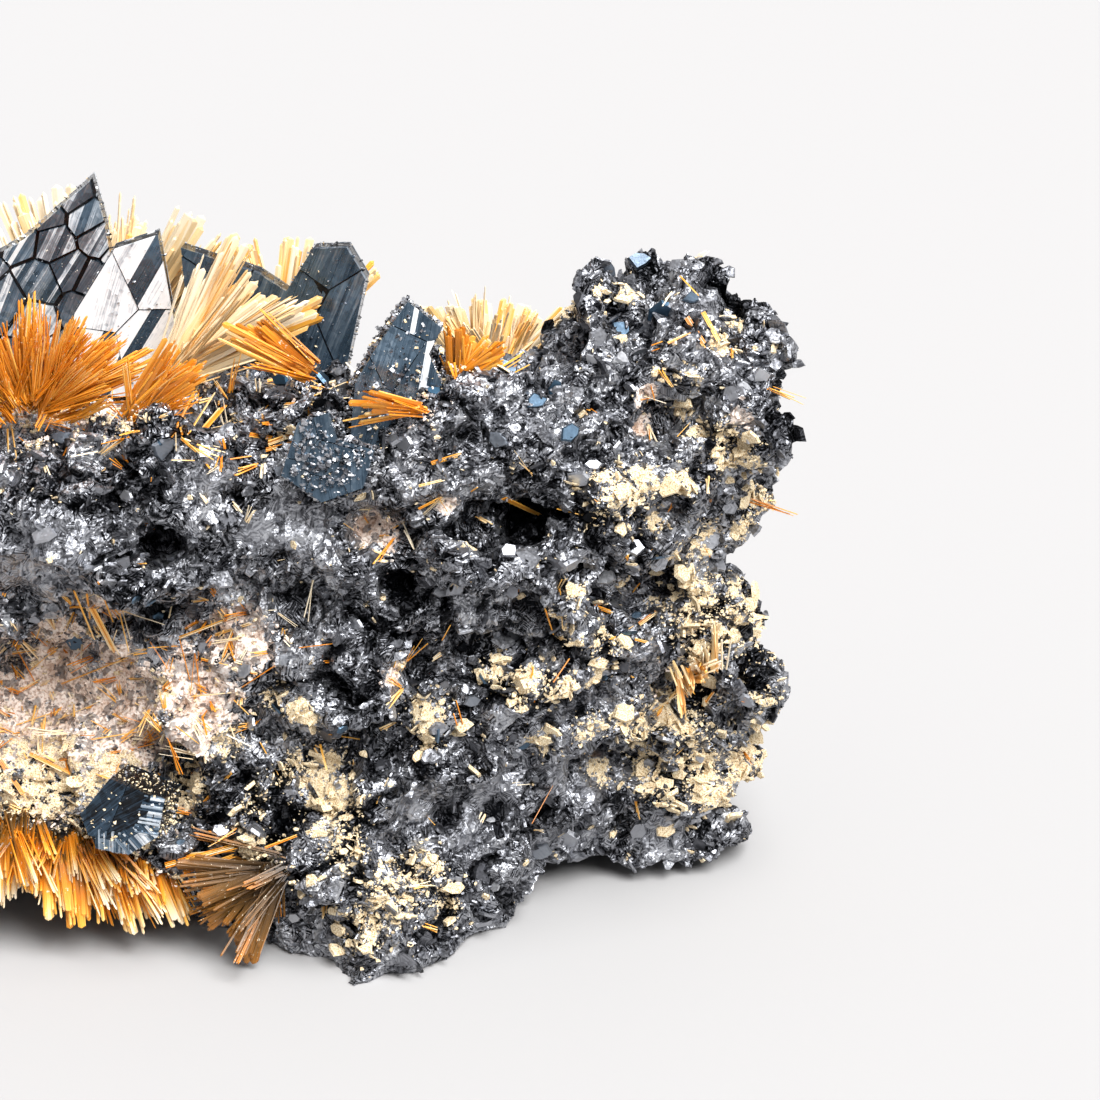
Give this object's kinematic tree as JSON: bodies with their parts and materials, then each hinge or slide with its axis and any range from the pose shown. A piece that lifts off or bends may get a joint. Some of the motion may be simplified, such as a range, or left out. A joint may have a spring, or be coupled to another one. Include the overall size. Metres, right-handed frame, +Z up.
{
  "type": "hematite with rutile specimen",
  "caption": "Rugged block of granular hematite that carries tabular hematite crystals and sprays of golden rutile needles, with a flat base to stand on.",
  "frame": {"origin": "middle of the bounding box's base, on the surface that the specimen stands on", "axes": "+X along the specimen's length towards the raised knob, +Z up, -Y out of the show face"},
  "size_m": [0.0926, 0.0428, 0.0582],
  "materials": {
    "hematite_rock": "granular, sparkling, with cream and pinkish gangue",
    "hematite_crystal": "mirror-bright blue-black crystal faces with growth striations",
    "rutile": "glassy golden-orange needles",
    "rutile_pale": "silky pale straw-gold blades"
  },
  "bodies": {
    "root": {"hematite_rock": "hematite_rock", "hematite_plate_tall": "hematite_crystal", "hematite_plate_bright": "hematite_crystal", "hematite_plate_broad": "hematite_crystal", "hematite_plate_outer": "hematite_crystal", "hematite_blade_front": "hematite_crystal", "hematite_blade_lower": "hematite_crystal", "hematite_crystal_low": "hematite_crystal", "rutile_spray_front": "rutile", "rutile_bundle_left": "rutile", "rutile_fan_pale": "rutile_pale", "rutile_bundle_middle": "rutile", "rutile_spray_cross": "rutile", "rutile_spray_rim": "rutile", "rutile_spray_back_left": "rutile_pale", "rutile_spray_back_middle": "rutile", "rutile_spray_back_right": "rutile_pale", "rutile_curtain_low": "rutile", "rutile_fan_low": "rutile", "rutile_boxwork": "rutile_pale", "rutile_spray_outer": "rutile", "rutile_curtain_outer": "rutile"}
  },
  "joints": []
}
